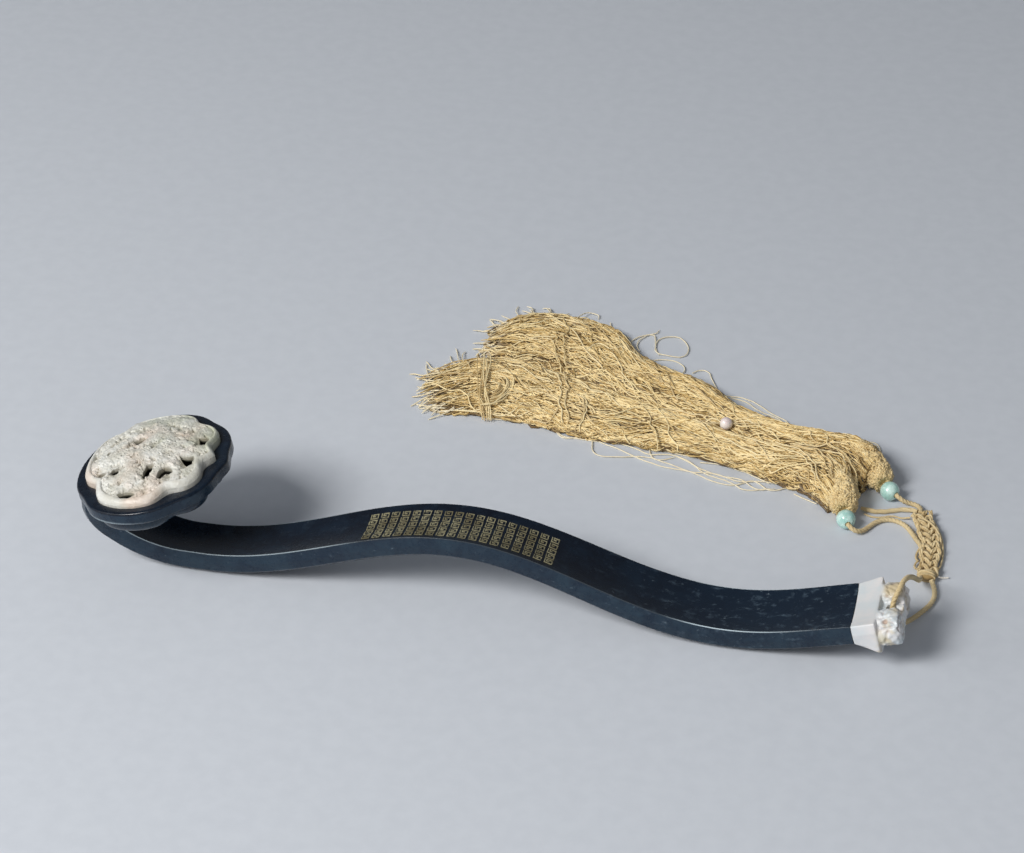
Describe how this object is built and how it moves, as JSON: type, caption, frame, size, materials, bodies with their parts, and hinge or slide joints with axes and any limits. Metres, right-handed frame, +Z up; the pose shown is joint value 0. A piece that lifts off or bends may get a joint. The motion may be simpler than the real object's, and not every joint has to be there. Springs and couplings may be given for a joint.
{
  "type": "ruyi scepter",
  "caption": "S-shaped ruyi scepter of dark jade, with an openwork pale plaque in its head, gilt fret on its hump, pale tail knob and corded silk tassels.",
  "frame": {"origin": "on the resting surface, under the middle of the scepter's own box, without the cords and tassels", "axes": "+X runs along the scepter from the head to the tail, +Y towards the tassels, +Z up"},
  "size_m": [0.429, 0.3022, 0.067],
  "materials": {
    "dark_jade": "polished, almost black spinach jade with pale clouds",
    "pale_jade": "polished, grey-white with faint russet tints",
    "mastic": "dull brown-black mastic",
    "gilding": "rubbed dull gold",
    "dowel_wood": "plain",
    "silk_cord": "twisted and plaited silk, faded gold",
    "silk_thread": "loose silk threads, faded gold",
    "white_thread": "bleached thread",
    "turquoise": "polished",
    "pearl": "lustrous"
  },
  "bodies": {
    "scepter": {"jade_body": "dark_jade", "plaque_bed": "mastic", "openwork_plaque": "pale_jade", "gilt_fret": "gilding", "tail_dowel": "dowel_wood", "tail_ferrule": "pale_jade", "hanging_cord": "silk_cord", "braided_knot": "silk_cord", "knot_wrap": "silk_thread", "knot_thread_end": "white_thread", "lead_cord_back": "silk_cord", "lead_cord_front": "silk_cord", "spare_cord": "silk_thread", "thin_strand": "silk_thread", "tassel_head_back": "silk_cord", "tassel_head_front": "silk_cord", "tassel_skirt_back": "silk_thread", "tassel_skirt_front": "silk_thread", "tassel_tie": "silk_thread", "pearl_strand": "silk_thread"},
    "back_bead": {"bead_back": "turquoise"},
    "front_bead": {"bead_front": "turquoise"},
    "pearl_bead": {"pearl": "pearl"}
  },
  "joints": [
    {"name": "back_bead_spin", "type": "hinge", "parent": "scepter", "child": "back_bead", "pos_m": [0.1846, 0.1256, 0.0053], "axis": [-0.7828, 0.6222, 0], "continuous": true},
    {"name": "front_bead_spin", "type": "hinge", "parent": "scepter", "child": "front_bead", "pos_m": [0.1656, 0.0962, 0.0053], "axis": [-0.3511, 0.9363, 0], "continuous": true},
    {"name": "pearl_spin", "type": "hinge", "parent": "scepter", "child": "pearl_bead", "pos_m": [0.093, 0.162, 0.0097], "axis": [-0.9864, -0.1644, 0], "continuous": true}
  ]
}
